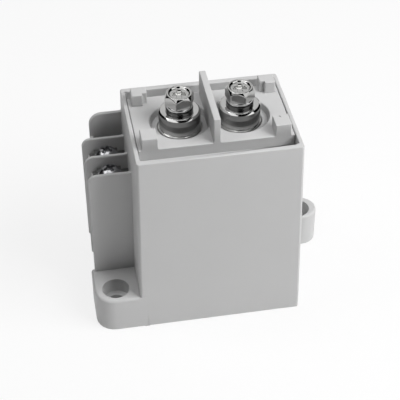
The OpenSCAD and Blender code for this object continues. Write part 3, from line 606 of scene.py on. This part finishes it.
# cross recess: full depth inside either arm and the flared middle, running out at the arms' ends
def crossDepth(x, y, shape):
    a, b = np.abs(x), np.abs(y)
    near, far = np.minimum(a, b), np.maximum(a, b)
    arm, width, edge = shape["crossArm"], shape["crossWidth"], shape["crossEdge"]
    inArm = 1 - smoothStep(near, width / 2 - edge, width / 2 + edge)
    inLength = 1 - smoothStep(far, arm - crossForm["endFade"], arm)
    core = 1 - smoothStep(a + b, width * crossForm["coreFull"], width * crossForm["coreEnd"])
    return shape["crossDepth"] * np.maximum(inArm * inLength, core * inLength)


# radius and height by row, carried round the angles about a centre
def addMeridian(name, radii, heights, way, centre, smoothAngle):
    r, z = np.concatenate(radii) * mm, np.concatenate(heights) * mm
    grid = np.stack([centre[0] + r * np.cos(way), centre[1] + r * np.sin(way), z], -1)
    return addSurface(name, grid, smoothAngle=smoothAngle)


boltShape = {
    "flats": 7.25, "cornerRound": 0.2, "headHeight": 3.5, "underChamfer": 0.15,
    "shank": 9.0, "tipRadius": 1.9, "tipHeight": 0.4, "threadEnd": 0.3, "neckRadius": 2.5,
    "threadRadius": 2.48, "threadDepth": 0.42, "pitch": 0.8, "perTurn": 10,
    "rimRadius": 3.46, "chamferRise": 1.6, "edgeRound": 0.1, "edgeShare": 0.4,
    "dishRadius": 2.92, "dishFloor": 2.5, "dishDepth": 0.5, "dishEdge": 0.14, "dishStart": 0.8,
    "crossArm": 1.95, "crossWidth": 1.25, "crossDepth": 0.9, "crossEdge": 0.16, "crossTurn": -8.0,
    "arcColumns": 7, "flatColumns": 22, "underRows": 5, "sideRows": 6, "rimRows": 4, "dishRows": 12,
    "floorRows": 48, "floorGap": 0.05, "smoothAngle": 26.0, "turns": {"left": 10.0, "right": 41.0},
}


# hexagon: the flat's distance over the cosine of the angle, and at each corner a small circle that touches
# both flats
def hexagonOutline(shape):
    half, small = shape["flats"] / 2, shape["cornerRound"]
    corner = math.radians(30)
    reach = (half - small) / math.cos(corner)  # to the small circle's centre
    meet = corner - math.atan2(half * math.tan(corner) - small * math.tan(corner), half)
    offset = np.concatenate([
        np.linspace(-meet, meet, shape["arcColumns"]),
        np.linspace(meet, 2 * corner - meet, shape["flatColumns"] + 1)[1:-1],
    ])
    inArc = np.arange(len(offset)) < shape["arcColumns"]
    arc = reach * np.cos(offset) + np.sqrt(np.clip(small ** 2 - (reach * np.sin(offset)) ** 2, 0, None))
    radius = np.where(inArc, arc, half / np.cos(offset - corner))
    angle = (offset[None] + np.arange(6)[:, None] * math.radians(60)).ravel()
    return angle, np.tile(radius, 6)


# a corner between two straight runs of a meridian becomes a quadratic curve through its ends
def softCorner(before, at, after, steps=5):
    t = np.linspace(0, 1, steps)[:, None]
    return (1 - t) ** 2 * before + 2 * t * (1 - t) * at + t ** 2 * after


# the head's top by distance from the axis: a flat rim, then the dish's eased fall, then the cross
def headTopRows(angle, turn, headTop, shape):
    rim, dish, edge = shape["rimRadius"] - shape["edgeRound"], shape["dishRadius"], shape["dishEdge"]
    reach = np.concatenate([
        np.linspace(rim, dish + edge, shape["rimRows"])[1:],
        np.linspace(dish + shape["dishStart"] * edge, shape["dishFloor"], shape["dishRows"]),
        np.linspace(shape["dishFloor"] - shape["floorGap"], 0.0, shape["floorRows"]),
    ])[:, None] * np.ones_like(angle)
    crossAngle = angle + np.radians(turn - shape["crossTurn"])
    x, y = reach * np.cos(crossAngle), reach * np.sin(crossAngle)
    fall = shape["dishDepth"] * (1 - smoothStep(reach, shape["dishFloor"], dish + edge))
    return reach, headTop - fall - crossDepth(x, y, shape)


# bolt: a thread, then a head whose side is the hexagon, cut at the top by a cone that falls with the radius
def addBolt(node, turn, shape):
    low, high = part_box(node)
    headTop = high.z / mm
    headBottom = headTop - shape["headHeight"]
    tip = headBottom - shape["shank"]
    angle, hexagon = hexagonOutline(shape)
    ones = np.ones_like(angle)
    threadR, threadZ = threadRows(tip + shape["tipHeight"], headBottom - shape["threadEnd"], shape, angle)
    radii = [np.outer([0.0, shape["tipRadius"]], ones), threadR]
    heights = [np.outer([tip, tip], ones), threadZ]
    under, neck = shape["underChamfer"], shape["neckRadius"]
    u = np.linspace(0, 1, shape["underRows"])[:, None]  # underside, out to the chamfered lower edge
    radii.append(neck + u * (hexagon - under - neck))
    heights.append(headBottom + 0 * radii[-1])
    edge, rise, rim = shape["edgeRound"], shape["chamferRise"], shape["rimRadius"]
    shoulder = headTop - rise * (hexagon - rim)  # where the cone meets the flats
    u = np.linspace(0, 1, shape["sideRows"])[:, None]
    radii.append(hexagon + 0 * u)
    heights.append(headBottom + under + u * (shoulder - edge - headBottom - under))
    run = np.minimum(edge, (hexagon - rim) * shape["edgeShare"])
    radii.append(softCorner(hexagon, hexagon, hexagon - run)[1:])
    heights.append(softCorner(shoulder - edge, shoulder, shoulder + rise * run)[1:])
    radii.append(softCorner(rim + run, rim * ones, rim - edge * ones))
    heights.append(softCorner(headTop - rise * run, headTop * ones, headTop * ones))
    topR, topZ = headTopRows(angle, turn, headTop, shape)
    way, centre = angle + np.radians(turn), ((low.x + high.x) / 2, (low.y + high.y) / 2)
    piece = addMeridian(node + "Turned", radii + [topR], heights + [topZ], way, centre, shape["smoothAngle"])
    return dress(piece, node)


for side, turn in boltShape["turns"].items():
    addBolt(side + "_terminal_bolt", turn, boltShape)
print("bolts made")

coilScrewShape = {
    "headRadius": 3.3, "headHeight": 2.6, "wall": 0.75, "lowerChamfer": 0.2, "domePower": 2.6,
    "shank": 8.0, "tipRadius": 1.25, "tipHeight": 0.35, "threadEnd": 0.2, "neckRadius": 1.75,
    "threadRadius": 1.73, "threadDepth": 0.3, "pitch": 0.6, "perTurn": 9,
    "crossArm": 1.85, "crossWidth": 0.9, "crossDepth": 1.3, "crossEdge": 0.07,
    "columns": 120, "domeRows": 52, "smoothAngle": 30.0, "turns": {"front": 25.0, "rear": 60.0},
}


# pan screw: thread as on the bolt; the head is a short wall, then a dome falling with a power of the radius
def addCoilScrew(node, turn, shape):
    low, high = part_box(node)
    headTop = high.z / mm
    headBottom = headTop - shape["headHeight"]
    tip = headBottom - shape["shank"]
    angle = np.linspace(0, 2 * np.pi, shape["columns"], endpoint=False)
    ones = np.ones_like(angle)
    threadR, threadZ = threadRows(tip + shape["tipHeight"], headBottom - shape["threadEnd"], shape, angle)
    head, chamfer = shape["headRadius"], shape["lowerChamfer"]
    wall = np.array([
        (shape["neckRadius"], headBottom), (head - chamfer, headBottom),
        (head, headBottom + chamfer), (head, headBottom + shape["wall"]),
    ])
    share = np.linspace(1, 0, shape["domeRows"])[1:, None] * ones
    reach = head * share
    dome = headTop - (shape["headHeight"] - shape["wall"]) * share ** shape["domePower"]
    crossAngle = angle - np.radians(turn)
    cross = crossDepth(reach * np.cos(crossAngle), reach * np.sin(crossAngle), shape)
    radii = [np.outer([0.0, shape["tipRadius"]], ones), threadR, np.outer(wall[:, 0], ones), reach]
    heights = [np.outer([tip, tip], ones), threadZ, np.outer(wall[:, 1], ones), dome - cross]
    centre = ((low.x + high.x) / 2, (low.y + high.y) / 2)
    piece = addMeridian(node + "Turned", radii, heights, angle, centre, shape["smoothAngle"])
    return dress(piece, node, screwPlate)


for place, turn in coilScrewShape["turns"].items():
    addCoilScrew(place + "_coil_screw", turn, coilScrewShape)
print("coil screws made")

flatWasherShape = {"boreRadius": 2.6, "edge": 0.1, "columns": 96}
springWasherShape = {
    "boreRadius": 2.6, "edge": 0.5, "inset": 0.15, "gap": 0.5, "slant": 30.0, "columns": 96,
    "turns": {"left": 120.0, "right": 20.0},
}


# a washer's section: a rectangle of radius and height with rounded corners
def washerSection(shape, outer, bottom, top):
    inner, edge = shape["boreRadius"] * mm, shape["edge"] * mm
    middle = (inner + outer) / 2
    corners = [
        (middle, bottom), (outer, bottom), (outer, top), (inner, top), (inner, bottom), (middle, bottom),
    ]
    return roundCorners(corners, [0, edge, edge, edge, edge, 0])[:-1]


# flat washer: its section turned about the bolt's axis, painted near-black as shade under the spring washer
def addFlatWasher(node, shape):
    low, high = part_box(node)
    section = washerSection(shape, (high.x - low.x) / 2, low.z, high.z)
    grid = turned(section, ((low + high) / 2).to_tuple(), shape["columns"])
    return dress(addSurface(node + "Turned", grid, wrapRows=True), node, paintedShadeWasher)


# spring washer: its section carried round from one side of the split to the other, the end faces slanted
def addSpringWasher(node, turn, shape, outer, centre):
    low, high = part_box(node)
    section = washerSection(shape, outer, low.z, high.z)
    r, z = section[:, 0], section[:, 1]
    lean = (z - (low.z + high.z) / 2) * math.tan(math.radians(shape["slant"])) / r
    half = shape["gap"] * mm / 2 / r
    u = np.linspace(0, 1, shape["columns"])[:, None]
    angle = np.radians(turn) + lean + half + u * (2 * np.pi - 2 * half)
    x, y = centre[0] + r * np.cos(angle), centre[1] + r * np.sin(angle)
    grid = np.stack([x, y, np.broadcast_to(z, angle.shape)], -1)
    return dress(addSurface(node + "Split", grid, capEnds=True), node, springSteel)


for side, turn in springWasherShape["turns"].items():
    low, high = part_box(side + "_flat_washer")
    addFlatWasher(side + "_flat_washer", flatWasherShape)
    washerRadius = (high.x - low.x) / 2 - springWasherShape["inset"] * mm
    washerCentre = ((low + high) / 2).to_tuple()
    addSpringWasher(side + "_spring_washer", turn, springWasherShape, washerRadius, washerCentre)
print("washers made")

# coil springs, leads and winding
springShapes = {
    "return_spring": {
        "wire": 0.7, "turns": 6.0, "deadTurns": 0.6,
        "joint": "plunger_slide", "travel": 2.2, "fixed": "top",
    },
    "contact_spring": {
        "wire": 0.8, "turns": 2.5, "deadTurns": 0.6,
        "joint": "bridge_slide", "travel": 0.5, "fixed": "bottom",
    },
}
springForm = {"perTurn": 28, "sides": 12, "easedShare": 0.35}
wireSmooth = 60.0  # degrees


# spring: a circle carried up a helix that stays nearly level at both ends
def addSpring(node, shape, form):
    low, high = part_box(node)
    wire = shape["wire"] * mm
    radius = (high.x - low.x) / 2 - wire / 2
    turns, dead = shape["turns"], shape["deadTurns"]
    turn = np.linspace(0, turns, int(turns * form["perTurn"]) + 1)
    eased = smoothStep(turn, dead / 2, turns - dead / 2)
    even = np.clip((turn - dead) / (turns - 2 * dead), 0, 1)
    climb = eased * form["easedShare"] + even * (1 - form["easedShare"])
    angle = 2 * np.pi * turn
    outward = np.stack([np.cos(angle), np.sin(angle), 0 * angle], -1)
    path = radius * outward
    path[:, 2] = low.z + wire / 2 + climb * (high.z - low.z - wire)
    up = np.broadcast_to(np.array([0.0, 0.0, 1.0]), outward.shape)
    grid = tube(path, outward, up, wire / 2, form["sides"])
    piece = dress(addSurface(node + "Wound", grid, capEnds=True, smoothAngle=wireSmooth), node)
    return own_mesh(piece)


for springNode, springShape in springShapes.items():
    addSpring(springNode, springShape, springForm)

leadShape = {"diameter": 1.0, "bend": 2.5, "sides": 14, "bendSteps": 14}


# lead: a circle carried down from the terminal tail, round a quarter bend and across to the winding
def addLead(node, shape):
    low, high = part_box(node)
    radius, bend = shape["diameter"] * mm / 2, shape["bend"] * mm
    x, y, z = low.x + radius, (low.y + high.y) / 2, low.z + radius
    a = np.linspace(0, np.pi / 2, shape["bendSteps"])
    along = np.concatenate([[x], x + bend * (1 - np.cos(a)), [high.x]])
    height = np.concatenate([[high.z], z + bend * (1 - np.sin(a)), [z]])
    lean = np.concatenate([[0.0], a, [np.pi / 2]])
    path = np.stack([along, np.full_like(along, y), height], -1)
    across = np.broadcast_to(np.array([0.0, 1.0, 0.0]), path.shape)
    outward = np.stack([np.cos(lean), 0 * lean, np.sin(lean)], -1)
    grid = tube(path, across, outward, radius, shape["sides"])
    return dress(addSurface(node + "Drawn", grid, capEnds=True, smoothAngle=wireSmooth), node)


for leadNode in ("front_coil_lead", "rear_coil_lead"):
    addLead(leadNode, leadShape)

windingShape = {"wire": 0.4, "pointsPerWire": 6, "boreRadius": 9.15, "columns": 72, "smoothAngle": 50.0}


# winding: the outer radius swells by half a wire over each turn, as a row of half circles
def addWinding(node, shape):
    low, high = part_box(node)
    outer, wire, bore = (high.x - low.x) / 2, shape["wire"] * mm, shape["boreRadius"] * mm
    count = int((high.z - low.z) / wire)
    z = np.linspace(low.z, high.z, count * shape["pointsPerWire"] + 1)
    phase = (z - low.z) / (high.z - low.z) * count % 1.0
    swell = np.sqrt(np.clip(1 - (2 * phase - 1) ** 2, 0, 1)) * wire / 2
    wall = np.stack([outer - wire / 2 + swell, z], -1)
    profile = np.concatenate([[[bore, low.z]], wall, [[bore, high.z]]])
    grid = turned(profile, (0.0, 0.0), shape["columns"])
    return dress(addSurface(node + "Wound", grid, wrapRows=True, smoothAngle=shape["smoothAngle"]), node)


addWinding("coil_winding", windingShape)
print("springs, leads and winding made")

# floor and lamps
stageLook = {
    "floorSize": 10.0, "floorColour": (0.86, 0.86, 0.86), "floorRoughness": 0.9,
    "whiteShare": 0.8, "world": 0.0,
}
lamps = {  # azimuth from the front towards the right, elevation, distance
    "keyBox": {"at": (57, 43, 0.65), "size": (0.45, 0.4), "power": 4.2, "mirrored": False},
    "overBox": {"at": (0, 88, 0.62), "size": (0.4, 0.35), "power": 0.9},
    "leftBox": {"at": (-100, 56, 0.65), "size": (0.3, 0.3), "power": 0.75},
    "rearCard": {"at": (178, 42, 0.7), "size": (1.0, 0.45), "power": 0.9},
    "leftCard": {"at": (-53, 44, 0.65), "size": (0.5, 0.36), "power": 0.6, "lights": False},
    "rightCard": {"at": (48, 28, 0.65), "size": (0.55, 0.46), "power": 0.95, "lights": False},
}


# floor: a lit pale grey, mixed with a plain white that only sight, mirror and glass rays see, so that
# its shadow is faint
def addFloor(look):
    material, tree, shader = newMaterial("paleFloor")
    shader.inputs["Base Color"].default_value = (*look["floorColour"], 1.0)
    shader.inputs["Roughness"].default_value = look["floorRoughness"]
    shader.inputs["Specular IOR Level"].default_value = 0.0
    rays = addNode(tree, "ShaderNodeLightPath").outputs
    seen = rays["Is Camera Ray"]
    for kind in ("Is Glossy Ray", "Is Transmission Ray"):
        seen = addNode(tree, "ShaderNodeMath", {0: seen, 1: rays[kind]}, operation="MAXIMUM").outputs[0]
    share = addNode(tree, "ShaderNodeMath", {0: seen, 1: look["whiteShare"]}, operation="MULTIPLY")
    white = addNode(tree, "ShaderNodeEmission", {"Color": (1.0, 1.0, 1.0, 1.0), "Strength": 1.0})
    mix = {0: share.outputs[0], 1: shader.outputs[0], 2: white.outputs[0]}
    mixed = addNode(tree, "ShaderNodeMixShader", mix)
    tree.links.new(mixed.outputs[0], tree.nodes["Material Output"].inputs["Surface"])
    half = look["floorSize"] / 2
    corners = [(-half, -half, 0), (half, -half, 0), (half, half, 0), (-half, half, 0)]
    mesh = bpy.data.meshes.new("floor")
    mesh.from_pydata(corners, [], [(0, 1, 2, 3)])
    mesh.materials.append(material)
    floor = bpy.data.objects.new("floor", mesh)
    bpy.context.scene.collection.objects.link(floor)


def addWorld(look):
    world = bpy.data.worlds.new("studio")
    world.use_nodes = True
    background = world.node_tree.nodes["Background"]
    background.inputs["Color"].default_value = (1.0, 1.0, 1.0, 1.0)
    background.inputs["Strength"].default_value = look["world"]
    bpy.context.scene.world = world


# lamp: a rectangle on a sphere about the object, turned to its middle
def addLamp(name, setup, aim=Vector((0.0, 0.0, 30.0 * mm))):
    azimuth, elevation, distance = setup["at"]
    lamp = bpy.data.lights.new(name, "AREA")
    lamp.shape = "RECTANGLE"
    lamp.size, lamp.size_y = setup["size"]
    lamp.energy = setup["power"]
    holder = bpy.data.objects.new(name, lamp)
    holder.location = distance * lookOut(azimuth, elevation)
    holder.rotation_euler = (aim - holder.location).to_track_quat("-Z", "Y").to_euler()
    holder.visible_glossy = setup.get("mirrored", True)
    holder.visible_diffuse = setup.get("lights", True)  # a card that metal mirrors lights nothing
    bpy.context.scene.collection.objects.link(holder)


addFloor(stageLook)
addWorld(stageLook)
for lampName, lampSetup in lamps.items():
    addLamp(lampName, lampSetup)
print("stage lit")
